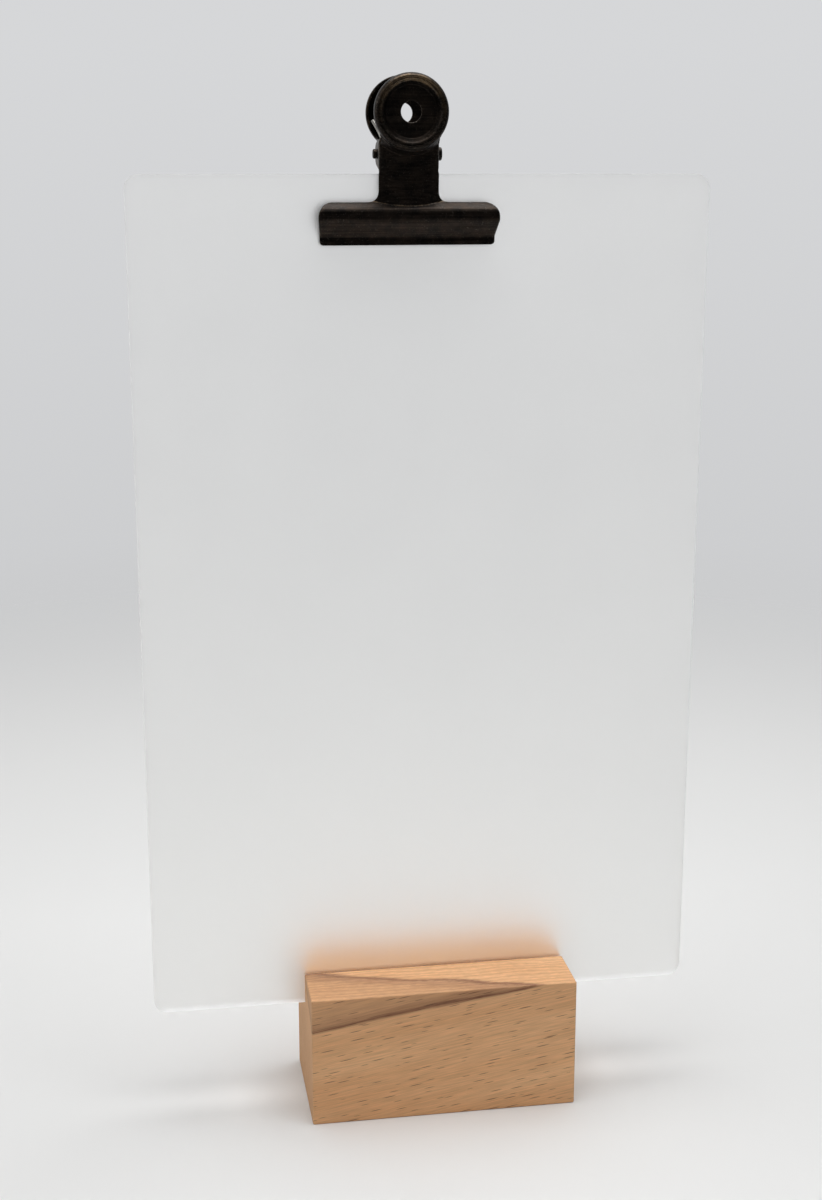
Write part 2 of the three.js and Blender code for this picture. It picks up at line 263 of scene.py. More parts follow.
# %% Ray flecks
FLECK_SPACING = (22, 1.25)
FLECK_SIZES = (0.05, 0.135)
FLECK_STAGGER = 0.31
FLECK_DRIFT = 0.3
FLECK_CORE = 0.55
FLECK_STRENGTH = 0.9

fleck_x = add_node(
    tree, "ShaderNodeMath", {0: along["X"], 1: 1 / FLECK_SPACING[0]}, operation="MULTIPLY"
).outputs[0]
fleck_z = add_node(
    tree, "ShaderNodeMath", {0: along["Z"], 1: 1 / FLECK_SPACING[1]}, operation="MULTIPLY"
).outputs[0]
deeper = add_node(
    tree, "ShaderNodeMath", {0: along["Y"], 1: FLECK_DRIFT, 2: fleck_z}, operation="MULTIPLY_ADD"
).outputs[0]
staggered = add_node(
    tree, "ShaderNodeMath", {0: deeper, 1: FLECK_STAGGER, 2: fleck_x}, operation="MULTIPLY_ADD"
).outputs[0]
cells = add_node(tree, "ShaderNodeCombineXYZ", {"X": staggered, "Y": deeper}).outputs[0]
dash = add_node(
    tree, "ShaderNodeTexVoronoi", {"Vector": cells, "Scale": 1}, voronoi_dimensions="2D"
).outputs
chance = add_node(tree, "ShaderNodeSeparateColor", {0: dash["Color"]}).outputs["Red"]
reach = add_node(
    tree, "ShaderNodeMapRange", {0: chance, 1: 0, 2: 1, 3: FLECK_SIZES[0], 4: FLECK_SIZES[1]}
).outputs[0]
core = add_node(tree, "ShaderNodeMath", {0: reach, 1: FLECK_CORE}, operation="MULTIPLY").outputs[0]
fleck = add_node(
    tree, "ShaderNodeMapRange", {0: dash["Distance"], 1: core, 2: reach, 3: FLECK_STRENGTH, 4: 0}
).outputs[0]
flecks = add_node(tree, "ShaderNodeMath", {0: fleck, 1: faces_front}, operation="MULTIPLY").outputs[0]
print("one ray fleck in", round(FLECK_SPACING[0] * FLECK_SPACING[1], 1), "square mm")

# %% [markdown]
# A brown streak of heartwood crosses the front's upper left. It is a slanted sheet in the wood: a point, a
# normal and the distance from them place it, and a colour ramp makes it dark at its lower side and
# brown above. The noise from before frays it along the grain.

# %% Heartwood streak
STREAK_POINT = (-49, -24.5, 34.5)
STREAK_NORMAL = (-0.129, -0.470, 0.873)
STREAK_START, STREAK_DEPTH = 3, 13
FIBRE_FRAY, TONE_FRAY = 2, 4
STREAK_ASIDE = 0.9
STREAK_TONES = (
    (0, 0), (0.1, 0.05), (0.17, 1), (0.24, 0.55), (0.3, 0.55), (0.42, 0.32), (0.8, 0.24), (1, 0.08),
)

away = add_node(
    tree, "ShaderNodeVectorMath", {0: wood_mm, 1: STREAK_POINT}, operation="SUBTRACT"
).outputs[0]
above = add_node(
    tree, "ShaderNodeVectorMath", {0: away, 1: STREAK_NORMAL}, operation="DOT_PRODUCT"
).outputs["Value"]
frayed = add_node(
    tree, "ShaderNodeMath", {0: fibres, 1: FIBRE_FRAY, 2: above}, operation="MULTIPLY_ADD"
).outputs[0]
frayed = add_node(
    tree, "ShaderNodeMath", {0: tone_change, 1: TONE_FRAY, 2: frayed}, operation="MULTIPLY_ADD"
).outputs[0]
streak = add_node(
    tree, "ShaderNodeMapRange", {0: frayed, 1: STREAK_START, 2: STREAK_START + STREAK_DEPTH, 3: 0, 4: 1}
).outputs[0]
streak_ramp = add_node(tree, "ShaderNodeValToRGB", {0: streak})
while len(streak_ramp.color_ramp.elements) < len(STREAK_TONES):
    streak_ramp.color_ramp.elements.new(1)
for element, (position, value) in zip(streak_ramp.color_ramp.elements, STREAK_TONES):
    element.position = position
    element.color = (value, value, value, 1)
strength = add_node(
    tree, "ShaderNodeMapRange", {0: faces_front, 1: 0, 2: 1, 3: STREAK_ASIDE, 4: 1}
).outputs[0]
streak = add_node(
    tree, "ShaderNodeMath", {0: streak_ramp.outputs[0], 1: strength}, operation="MULTIPLY"
).outputs[0]
print("streak", STREAK_DEPTH, "mm deep with", len(STREAK_TONES), "tones")

# %% [markdown]
# The colours are laid one over another: the wood's own tone, its fibres, its rings, the streak and the
# flecks, and last the duller end grain. Planing leaves a silky face, and sawing leaves rougher ends.

# %% Colour and shine of the wood
WOOD_TONES = ("#dfa36e", "#f3c08c")
FIBRE_CONTRAST = (0.75, 1.17)
RING_COLOUR, RING_SHARE = "#b9804f", 0.45
STREAK_COLOUR = "#7c4b2c"
FLECK_COLOUR = "#57301a"
END_COLOUR, END_SHARE = "#bf9b79", 0.5
FACE_ROUGHNESS, END_ROUGHNESS = 0.5, 0.9
FIBRE_HEIGHT = 0.1

tone = add_node(
    tree, "ShaderNodeMix", {0: tone_change, 6: linear(WOOD_TONES[0]), 7: linear(WOOD_TONES[1])},
    data_type="RGBA",
).outputs[2]
line = add_node(
    tree, "ShaderNodeMapRange", {0: fibres, 1: 0.25, 2: 0.75, 3: FIBRE_CONTRAST[0], 4: FIBRE_CONTRAST[1]}
).outputs[0]
tone = add_node(
    tree, "ShaderNodeMix", {0: 1, 6: tone, 7: line}, data_type="RGBA", blend_type="MULTIPLY"
).outputs[2]
ring_share = add_node(tree, "ShaderNodeMath", {0: rings, 1: RING_SHARE}, operation="MULTIPLY").outputs[0]
end_share = add_node(tree, "ShaderNodeMath", {0: faces_end, 1: END_SHARE}, operation="MULTIPLY").outputs[0]
for share, colour in (
    (ring_share, RING_COLOUR), (streak, STREAK_COLOUR), (flecks, FLECK_COLOUR), (end_share, END_COLOUR),
):
    tone = add_node(
        tree, "ShaderNodeMix", {0: share, 6: tone, 7: linear(colour)}, data_type="RGBA"
    ).outputs[2]
wood_shine = add_node(
    tree, "ShaderNodeMapRange", {0: faces_end, 1: 0, 2: 1, 3: FACE_ROUGHNESS, 4: END_ROUGHNESS}
).outputs[0]
relief = add_node(tree, "ShaderNodeMath", {0: fibres, 1: flecks}, operation="SUBTRACT").outputs[0]
bump = add_node(
    tree, "ShaderNodeBump", {"Height": relief, "Strength": 0.3, "Distance": FIBRE_HEIGHT * MM}
).outputs[0]
shader = add_node(
    tree, "ShaderNodeBsdfPrincipled",
    {"Base Color": tone, "Roughness": wood_shine, "Specular IOR Level": 0.5, "Normal": bump},
)
add_node(tree, "ShaderNodeOutputMaterial", {"Surface": shader.outputs[0]})
print(beech.name, "has", len(tree.nodes), "nodes")

# %% [markdown]
# ## Frosted acrylic
# The sheet is clear acrylic with a frosted skin: light goes through and is spread wide, so only what
# touches the sheet shows through it. Transmission with a high roughness does this, with acrylic's
# index of refraction of 1.49. The sawn edges are smoother than the two broad faces, and faint clouds
# in the frosting keep the faces from looking flat. Shadow rays stop at a surface that bends light, so a
# share of them is let through, as the real sheet does.

# %% Frosted acrylic
FROST_CLOUD = 25
FROST_ROUGHNESS = (0.62, 0.68)
SAWN_ROUGHNESS = 0.5
ACRYLIC_IOR = 1.49
SHADOW_PASS = 0.3

acrylic, tree = empty_material("frosted_acrylic")
place = add_node(tree, "ShaderNodeTexCoord").outputs["Object"]
clouds = add_node(
    tree, "ShaderNodeTexNoise", {"Vector": place, "Scale": 1 / (FROST_CLOUD * MM), "Detail": 4}
).outputs["Fac"]
normal = add_node(tree, "ShaderNodeNewGeometry").outputs["Normal"]
facing = add_node(tree, "ShaderNodeSeparateXYZ", {0: normal}).outputs
faces_front = add_node(tree, "ShaderNodeMath", {0: facing["Y"]}, operation="ABSOLUTE").outputs[0]
frost = add_node(
    tree, "ShaderNodeMapRange", {0: clouds, 1: 0.3, 2: 0.7, 3: FROST_ROUGHNESS[0], 4: FROST_ROUGHNESS[1]}
).outputs[0]
frost = add_node(
    tree, "ShaderNodeMapRange", {0: faces_front, 1: 0.3, 2: 0.9, 3: SAWN_ROUGHNESS, 4: frost}
).outputs[0]
shader = add_node(
    tree, "ShaderNodeBsdfPrincipled",
    {"Base Color": linear("#fcfcfb"), "Roughness": frost, "IOR": ACRYLIC_IOR, "Transmission Weight": 1.0},
)
for_shadow = add_node(tree, "ShaderNodeLightPath").outputs["Is Shadow Ray"]
passed = add_node(tree, "ShaderNodeMath", {0: for_shadow, 1: SHADOW_PASS}, operation="MULTIPLY").outputs[0]
through = add_node(tree, "ShaderNodeBsdfTransparent").outputs[0]
sheet_shader = add_node(tree, "ShaderNodeMixShader", {0: passed, 1: shader.outputs[0], 2: through})
add_node(tree, "ShaderNodeOutputMaterial", {"Surface": sheet_shader.outputs[0]})
print(acrylic.name, "has", len(tree.nodes), "nodes")

# %% [markdown]
# ## Antiqued bronze on pressed steel
# The clip's plates are steel with a nearly black bronze finish, rubbed through to a warm brown on the rims
# and cut edges. The same warm brown is also painted light: a painted highlight on the upper half of each
# disc's rim, and a painted reflection of the bright backdrop on the ears. The mesh carries a per-point
# attribute that says where, and noise breaks it up.
# Fine lines along the plate and bare specks scatter the highlights. Real specks are finer than a
# pixel, so they are drawn about half a millimetre wide.

# %% Antiqued bronze
PATINA_SIZE = 4
SPECK_SIZE = 0.55
RUB_SIZE = (26, 0.55, 0.55)

bronze, tree = empty_material("antiqued_bronze")
place = add_node(tree, "ShaderNodeTexCoord").outputs["Object"]
metal_mm = add_node(tree, "ShaderNodeVectorMath", {0: place, "Scale": 1 / MM}, operation="SCALE").outputs[0]
patina = add_node(
    tree, "ShaderNodeTexNoise", {"Vector": metal_mm, "Scale": 1 / PATINA_SIZE, "Detail": 4, "Roughness": 0.6}
).outputs["Fac"]
specks = add_node(
    tree, "ShaderNodeTexNoise", {"Vector": metal_mm, "Scale": 1 / SPECK_SIZE, "Detail": 2}
).outputs["Fac"]
stretched = add_node(
    tree, "ShaderNodeMapping", {"Vector": metal_mm, "Scale": tuple(1 / s for s in RUB_SIZE)}
).outputs[0]
rubs = add_node(tree, "ShaderNodeTexNoise", {"Vector": stretched, "Scale": 1, "Detail": 3}).outputs["Fac"]
wear = add_node(tree, "ShaderNodeAttribute", attribute_name="wear").outputs["Fac"]
print("specks", SPECK_SIZE, "mm, rubbed lines", RUB_SIZE, "mm")

# %% [markdown]
# The layers go from the dark finish to bare metal: brown clouds, rubbed lines, bare specks and worn places.
# The worn places also carry a painted highlight on the rims' upper half and a painted reflection on the ears.
# Worn metal is also polished a little, so its roughness falls where the finish is rubbed and where the
# highlight is painted.

# %% Colour and shine of the bronze
FINISH_TONES = ("#23201e", "#372f29")
RUB_CONTRAST = (0.6, 1.5)
SPECK_COLOUR, SPECK_SHARE, SPECK_WEAR_AND_HIGHLIGHT = "#6e675f", 0.4, 0.2
# The worn brown is also a painted highlight on the rims' upper half and a painted reflection on the ears.
WORN_AND_HIGHLIGHT_COLOUR, WORN_AND_HIGHLIGHT_SHARE = "#8f7757", 0.7
FINISH_ROUGHNESS = (0.42, 0.55)
POLISH = 0.15
SPECK_HEIGHT = 0.06

brown = add_node(tree, "ShaderNodeMapRange", {0: patina, 1: 0.35, 2: 0.7, 3: 0, 4: 1}).outputs[0]
tone = add_node(
    tree, "ShaderNodeMix", {0: brown, 6: linear(FINISH_TONES[0]), 7: linear(FINISH_TONES[1])},
    data_type="RGBA",
).outputs[2]
line = add_node(
    tree, "ShaderNodeMapRange", {0: rubs, 1: 0.3, 2: 0.7, 3: RUB_CONTRAST[0], 4: RUB_CONTRAST[1]}
).outputs[0]
tone = add_node(
    tree, "ShaderNodeMix", {0: 1, 6: tone, 7: line}, data_type="RGBA", blend_type="MULTIPLY"
).outputs[2]
specks_on_wear_and_highlight = add_node(
    tree, "ShaderNodeMath", {0: wear, 1: SPECK_WEAR_AND_HIGHLIGHT, 2: specks}, operation="MULTIPLY_ADD"
).outputs[0]
bare = add_node(
    tree, "ShaderNodeMapRange", {0: specks_on_wear_and_highlight, 1: 0.6, 2: 0.78, 3: 0, 4: SPECK_SHARE}
).outputs[0]
rubbed_and_highlit = add_node(tree, "ShaderNodeMath", {0: wear, 1: patina}, operation="MULTIPLY").outputs[0]
rubbed_and_highlit = add_node(tree, "ShaderNodeMapRange", {0: rubbed_and_highlit, 1: 0.25, 2: 0.75, 3: 0, 4: WORN_AND_HIGHLIGHT_SHARE}).outputs[0]
for share, colour in ((bare, SPECK_COLOUR), (rubbed_and_highlit, WORN_AND_HIGHLIGHT_COLOUR)):
    tone = add_node(
        tree, "ShaderNodeMix", {0: share, 6: tone, 7: linear(colour)}, data_type="RGBA"
    ).outputs[2]
metal_shine = add_node(
    tree, "ShaderNodeMapRange", {0: patina, 1: 0.3, 2: 0.7, 3: FINISH_ROUGHNESS[0], 4: FINISH_ROUGHNESS[1]}
).outputs[0]
metal_shine = add_node(
    tree, "ShaderNodeMath", {0: wear, 1: -POLISH, 2: metal_shine}, operation="MULTIPLY_ADD"
).outputs[0]
bump = add_node(
    tree, "ShaderNodeBump", {"Height": specks, "Strength": 0.4, "Distance": SPECK_HEIGHT * MM}
).outputs[0]
shader = add_node(
    tree, "ShaderNodeBsdfPrincipled",
    {"Base Color": tone, "Metallic": 1.0, "Roughness": metal_shine, "Normal": bump},
)
add_node(tree, "ShaderNodeOutputMaterial", {"Surface": shader.outputs[0]})
print(bronze.name, "has", len(tree.nodes), "nodes")

# %% [markdown]
# ## Drawn spring wire
# Bare spring steel is drawn through a die, which leaves a grey shine with slow clouds along the wire.

# %% Drawn spring wire
CLOUD_SIZE = 1.1
WIRE_TONES = ("#a5a29b", "#d2cfc8")
WIRE_ROUGHNESS = (0.35, 0.5)

spring_wire, tree = empty_material("drawn_spring_wire")
place = add_node(tree, "ShaderNodeTexCoord").outputs["Object"]
clouds = add_node(
    tree, "ShaderNodeTexNoise", {"Vector": place, "Scale": 1 / (CLOUD_SIZE * MM), "Detail": 3}
).outputs["Fac"]
tone = add_node(
    tree, "ShaderNodeMix", {0: clouds, 6: linear(WIRE_TONES[0]), 7: linear(WIRE_TONES[1])}, data_type="RGBA"
).outputs[2]
wire_shine = add_node(
    tree, "ShaderNodeMapRange", {0: clouds, 1: 0.3, 2: 0.7, 3: WIRE_ROUGHNESS[0], 4: WIRE_ROUGHNESS[1]}
).outputs[0]
shader = add_node(
    tree, "ShaderNodeBsdfPrincipled", {"Base Color": tone, "Metallic": 1.0, "Roughness": wire_shine}
)
add_node(tree, "ShaderNodeOutputMaterial", {"Surface": shader.outputs[0]})
print(spring_wire.name, "has", len(tree.nodes), "nodes")

# %% [markdown]
# ## Block
# A planed block with a slot sawn along its whole top. The section is drawn once, front to back, and run
# along the block's length, and a Bevel modifier eases the edges as a pass of sandpaper does.

# %% Block
SLOT_DEPTH = 11.5
SLOT_WIDTH = 3.4
EASED_EDGE = 0.55

low, high = (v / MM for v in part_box("base_block"))
half_slot = SLOT_WIDTH / 2
section = [
    (low.y, low.z), (high.y, low.z), (high.y, high.z), (half_slot, high.z),
    (half_slot, high.z - SLOT_DEPTH), (-half_slot, high.z - SLOT_DEPTH),
    (-half_slot, high.z), (low.y, high.z),
]
vertices = [(x, y, z) for x in (low.x, high.x) for y, z in section]
block = piece_from("beech_block", vertices, prism_faces(len(section)), beech)
merge_and_face_out(block.data)
bevel = block.modifiers.new("eased edges", "BEVEL")
bevel.width = EASED_EDGE * MM
bevel.segments = 4
bevel.limit_method = "ANGLE"
bevel.harden_normals = True
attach(block, "base")
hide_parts("base_block")
print("block", count_triangles(block), "triangles")

# %% [markdown]
# ## Sheet
# The sheet is cut from 3 mm acrylic with rounded corners. Its outline is four arcs, and a very small
# bevel keeps the cut edges from looking like a knife's.

# %% Sheet
SHEET_CORNER = 5
SHEET_EDGE = 0.25
CORNER_STEPS = 12

low, high = (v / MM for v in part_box("sign_sheet"))
corners = ((low.x, low.z), (high.x, low.z), (high.x, high.z), (low.x, high.z))
outline = rounded_path([(x, z, SHEET_CORNER) for x, z in corners], CORNER_STEPS)
vertices = [(x, y, z) for y in (low.y, high.y) for x, z in outline]
sheet = piece_from("acrylic_sheet", vertices, prism_faces(len(outline)), acrylic)
merge_and_face_out(sheet.data)
bevel = sheet.modifiers.new("cut edges", "BEVEL")
bevel.width = SHEET_EDGE * MM
bevel.segments = 2
bevel.limit_method = "ANGLE"
bevel.angle_limit = math.radians(60)
bevel.harden_normals = True
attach(sheet, "sheet")
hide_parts("sign_sheet")
print("sheet", count_triangles(sheet), "triangles")

# %% [markdown]
# ## Clip plates
# Each half of the clip is one pressed plate: a wide jaw with a bulge and a lip, a crowned neck, two ears
# that fold back to the rivet, and a dished finger disc with a rolled rim. Seen from the front the
# plate has one depth at each point, so its middle surface is a grid of quads whose depth comes from a
# formula. Solidify then gives the plate its thickness, and Subdivision Surface rounds its edges.

# %% Sizes of the clip
PLATE = 0.9
JAW_HALF = 30.8
JAW_TOP = -16.0
JAW_BOTTOM = -29.9
JAW_CORNER = 4.5
LIP_TOP = -27.0
LIP_HALF = 30.0
LIP_CORNER = 1.3
LIP_DEPTH = 2.05
LIP_BEND = 1.2
BULGE_DEPTH = 7.05
BULGE_BOTTOM = -21.6
BULGE_TOP = -18.2
BULGE_BEND = 2.3
SHOULDER_DEPTH = 3.8
NECK_HALF = 10.2
NECK_FILLET = 3.7
NECK_CROWN = 1.8
NECK_FOOT_DEPTH = 5.5
NECK_TOP_DEPTH = 7.2
EAR_BOTTOM = -6.0
EAR_TOP = 5.5
EAR_RADIUS = 4.0
EAR_HOLE = 1.5
EAR_GAP = 0.3
DISC_RISE = 13.4
DISC_DEPTH = 9.4
DISC_RIM = 12.04
DISH_RADIUS = 8.8
HANG_HOLE = 3.4
BEAD_INNER = 10.2
BEAD_HEIGHT = 2.2
BEAD_BEND = 0.9
RIM_BEND = 1.35
RIM_RETURN = 3.0
FLARE_DEPTH = 10.6
FLARE_RUN = 1.9

pin_low, pin_high = (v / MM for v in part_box("clip_hinge_pin"))
jaw_low, jaw_high = (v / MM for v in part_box("clip_front_jaw"))
pin_centre = Vector(((jaw_low.x + jaw_high.x) / 2, 0, (pin_low.z + pin_high.z) / 2))
print("rivet's middle in mm:", [round(c, 2) for c in pin_centre])

# %% [markdown]
# The plate's depth is the greater of two forms, blended where they meet: the jaw, which is a bent section
# that runs the whole width, and the neck, which is crowned across and ends inside the jaw's shoulder.
# Round the finger disc the neck flares out to meet the disc's rim.

# %% Depth of a plate
JUNCTION_BLEND = 0.4
SECTION_EXTRA = 8
FOOT_DROP = 0.6
BEND_STEPS = 8

section_top = JAW_TOP + SECTION_EXTRA
shoulder_slope = (SHOULDER_DEPTH - BULGE_DEPTH) / (JAW_TOP - BULGE_TOP)
jaw_line = rounded_path(
    [
        (LIP_DEPTH, JAW_BOTTOM, 0), (LIP_DEPTH, LIP_TOP, LIP_BEND), (BULGE_DEPTH, BULGE_BOTTOM, BULGE_BEND),
        (BULGE_DEPTH, BULGE_TOP, BULGE_BEND),
        (BULGE_DEPTH + shoulder_slope * (section_top - BULGE_TOP), section_top, 0),
    ],
    BEND_STEPS,
)
neck_heights = (BULGE_TOP - FOOT_DROP, BULGE_TOP, JAW_TOP, DISC_RISE)
neck_depths = (LIP_DEPTH, NECK_FOOT_DEPTH, NECK_FOOT_DEPTH, NECK_TOP_DEPTH)


def jaw_depth(z):
    return np.interp(z, jaw_line[:, 1], jaw_line[:, 0])


def neck_depth(x, z, neck_half):
    depth = np.interp(z, neck_heights, neck_depths)
    nearness = np.clip((DISC_RIM + FLARE_RUN - math.hypot(x, z - DISC_RISE)) / FLARE_RUN, 0, 1)
    depth += (FLARE_DEPTH - depth) * nearness ** 2 * (3 - 2 * nearness)
    return depth - NECK_CROWN * (x / neck_half) ** 2


def plate_depth(x, z, neck_half):
    """How far the plate's middle surface stands out from the sheet's middle."""
    neck, jaw = neck_depth(x, z, neck_half), jaw_depth(z)
    share = np.clip(0.5 + 0.5 * (neck - jaw) / JUNCTION_BLEND, 0, 1)
    return float(jaw + (neck - jaw) * share + JUNCTION_BLEND * share * (1 - share))


def jaw_half_width(z):
    """Half the jaw's width at a height, with its rounded upper and lower corners."""
    if z > JAW_TOP - JAW_CORNER:
        rise = z - (JAW_TOP - JAW_CORNER)
        return JAW_HALF - JAW_CORNER + math.sqrt(max(0, JAW_CORNER ** 2 - rise ** 2))
    if z > LIP_TOP:
        return float(np.interp(z, (LIP_TOP, BULGE_BOTTOM), (LIP_HALF, JAW_HALF)))
    drop = max(0, JAW_BOTTOM + LIP_CORNER - z)
    return LIP_HALF - LIP_CORNER + math.sqrt(max(0, LIP_CORNER ** 2 - drop ** 2))


print("depth in front of the rivet", round(plate_depth(0, 0, NECK_HALF), 2), "mm")

# %% [markdown]
# Hands and tables rub the finish off a clip's cut edges, its rims and its ears, and off the crease where the
# press drew the metal thin. Each point of the grid carries a number for this, from 0 where the finish is
# whole. The same number also holds painted light: a painted highlight that makes each rim lighter on its
# upper half, and a painted reflection of the bright backdrop that lightens the ears. It could be painted on
# by hand, but a formula stays right when a size changes.

# %% Wear of a plate
EDGE_WEAR = 0.55
# The ears' number is worn finish plus a painted reflection of the bright backdrop, which lightens every ear
# point.
EAR_WEAR_AND_REFLECTION = 0.6
# The rim's number is worn finish on its crest plus a painted highlight, which makes the rim lighter on its
# upper half than on its lower half.
RIM_WEAR_AND_HIGHLIGHT = 1.1
RIM_WEAR_MEAN, RIM_HIGHLIGHT_SWING = 0.6, 0.4
CREASE_WEAR = 0.8
CREASE_WIDTH = 0.7


def rim_wear(height, angle):
    """Wear of the disc's rolled rim, most on its crest, plus a painted highlight that makes the rim lighter
    above than below.
    """
    return RIM_WEAR_AND_HIGHLIGHT * max(0, height / BEAD_HEIGHT) ** 3 * (RIM_WEAR_MEAN - RIM_HIGHLIGHT_SWING * math.cos(angle))


def crease_wear(x, z, neck_half):
    """Wear in the crease between the neck's foot and the jaw's shoulder."""
    if not BULGE_TOP < z < JAW_TOP + NECK_FILLET:
        return 0
    return CREASE_WEAR * math.exp(-((neck_depth(x, z, neck_half) - jaw_depth(z)) / CREASE_WIDTH) ** 2)


# %% [markdown]
# The grid is made of patches that share their border points: the disc, the neck, the jaw and two ears. A
# small class collects points, wear and faces, so that each patch can go on from the one before.

# %% Grid of a plate
class PlateGrid:
    """Points (x, depth, z from the rivet), each with a number for rubbed finish and painted highlight, and
    faces between rows of points.
    """

    def __init__(self, neck_half):
        self.neck_half = neck_half
        self.points, self.wear, self.faces = [], [], []

    def add(self, x, depth, z, rub_and_highlight=0.0):
        self.points.append((x, depth, z))
        self.wear.append(rub_and_highlight)
        return len(self.points) - 1

    def add_on_plate(self, x, z, rub_and_highlight=0.0):
        return self.add(x, plate_depth(x, z, self.neck_half), z, rub_and_highlight)

    def add_faces(self, rows):
        for upper, lower in zip(rows[:-1], rows[1:]):
            for i in range(len(upper) - 1):
                self.faces.append((upper[i], upper[i + 1], lower[i + 1], lower[i]))


# %% [markdown]
# The finger disc is a set of rings: from the hanging hole out over the rolled rim, then back along the rim's
# wall. Its first angles lie above the neck, and there the wall ends at the neck's depth.

# %% Finger disc
NECK_COLUMNS = 24
DISC_REST = 50
RING_STEP = 0.7
RIM_STEPS = 3
RIM_BEND_STEPS = 6


def disc_angles(neck_half):
    """Angles from the disc's lowest point: those above the neck, and those of the whole ring."""
    reach = math.asin(neck_half / DISC_RIM)
    below = np.linspace(-reach, reach, NECK_COLUMNS + 1)
    around = np.linspace(reach, math.tau - reach, DISC_REST + 1)[1:-1]
    return below, np.concatenate([below, around])


def add_disc(grid):
    """Adds the disc and returns the last ring of its wall."""
    angles = disc_angles(grid.neck_half)[1]
    profile = rounded_path(
        [
            (HANG_HOLE, 0, 0), (DISH_RADIUS, 0, BEAD_BEND), (BEAD_INNER, BEAD_HEIGHT, BEAD_BEND),
            (DISC_RIM, BEAD_HEIGHT, RIM_BEND), (DISC_RIM, 0, 0),
        ],
        RIM_BEND_STEPS,
    )[:-1]
    profile = with_short_steps(profile, RING_STEP)
    rings = []
    for radius, height in profile:
        ring = []
        for a in angles:
            # On the rim the number is worn finish plus a painted highlight on the rim's upper half.
            rub_and_highlight = EDGE_WEAR if radius == HANG_HOLE else rim_wear(height, a)
            x, z = radius * math.sin(a), DISC_RISE - radius * math.cos(a)
            ring.append(grid.add(x, DISC_DEPTH + height, z, rub_and_highlight))
        rings.append(ring)
    wall_top = DISC_DEPTH + profile[-1][1]
    free_end = DISC_DEPTH + BEAD_HEIGHT - RIM_RETURN
    for step in range(1, RIM_STEPS + 1):
        ring = []
        for i, a in enumerate(angles):
            x, z = DISC_RIM * math.sin(a), DISC_RISE - DISC_RIM * math.cos(a)
            over_neck = i <= NECK_COLUMNS
            wall_end = plate_depth(x, z, grid.neck_half) if over_neck else free_end
            rub_and_highlight = EDGE_WEAR if step == RIM_STEPS and not over_neck else 0.0
            ring.append(grid.add(x, wall_top + (wall_end - wall_top) * step / RIM_STEPS, z, rub_and_highlight))
        rings.append(ring)
    grid.add_faces([ring + ring[:1] for ring in rings])
    return rings[-1]


print("each ring of the disc has", len(disc_angles(NECK_HALF)[1]), "points")

# %% [markdown]
# The neck's rows run from the disc's lower arc down to the fillets that widen it into the jaw. Its sides
# draw in by half the plate's thickness along the ears, which fold back from there.

# %% Neck
NECK_ROWS = 32
ROW_CROWDING = 1.35
FILLET_ROWS = 7


def add_neck(grid, arc_points):
    """Adds the neck. Returns its lowest row, its columns' spread, and where each ear folds."""
    below = disc_angles(grid.neck_half)[0]
    spread = np.sin(below) / math.sin(below[-1])
    arc = DISC_RISE - DISC_RIM * np.cos(below)
    fillet_top = JAW_TOP + NECK_FILLET
    rows, heights = [arc_points], [arc[0]]
    for row in range(1, NECK_ROWS + 1):
        share = 1 - (row / NECK_ROWS) ** ROW_CROWDING
        side_z = fillet_top + share * (arc[0] - fillet_top)
        heights.append(side_z)
        width = grid.neck_half - (EAR_BOTTOM <= side_z <= EAR_TOP) * PLATE / 2
        rows.append([
            grid.add_on_plate(c * width, fillet_top + share * (top - fillet_top), EDGE_WEAR * (abs(c) == 1))
            for c, top in zip(spread, arc)
        ])
    ear_rows = [i for i, z in enumerate(heights) if EAR_BOTTOM <= z <= EAR_TOP]
    folds = {-1: [rows[i][0] for i in ear_rows], 1: [rows[i][-1] for i in ear_rows]}
    for angle in np.linspace(0, math.pi / 2, FILLET_ROWS + 1)[1:]:
        z = fillet_top - NECK_FILLET * math.sin(angle)
        width = grid.neck_half + NECK_FILLET * (1 - math.cos(angle))
        rows.append([grid.add_on_plate(c * width, z, EDGE_WEAR * (abs(c) == 1)) for c in spread])
    grid.add_faces(rows)
    return rows[-1], spread, folds


# %% [markdown]
# The jaw's rows run down the shoulder, the bulge, the slope and the lip. They lie closer together where the
# section bends and where the corners are round, and side columns reach out beyond the neck's.

# %% Jaw
SIDE_COLUMNS = 15
ROW_STEP = 0.5
LEAST_STEP = 0.07
CORNER_ROWS, LIP_ROWS = 9, 5


def jaw_levels():
    """Heights of the jaw's rows, from its top edge down to its lip."""
    corner = [JAW_TOP - JAW_CORNER * (1 - math.cos(a)) for a in np.linspace(0, math.pi / 2, CORNER_ROWS)]
    lip_corner = [JAW_BOTTOM + LIP_CORNER * (1 - math.cos(a)) for a in np.linspace(0, math.pi / 2, LIP_ROWS)]
    section = with_short_steps(jaw_line, ROW_STEP)[:, 1]
    candidates = {*np.round(corner, 3), *np.round(lip_corner, 3), *np.round(section, 3)}
    levels = []
    for z in sorted(candidates, reverse=True):
        if JAW_BOTTOM <= z <= JAW_TOP and (not levels or levels[-1] - z > LEAST_STEP):
            levels.append(z)
    levels[-1] = JAW_BOTTOM
    return levels


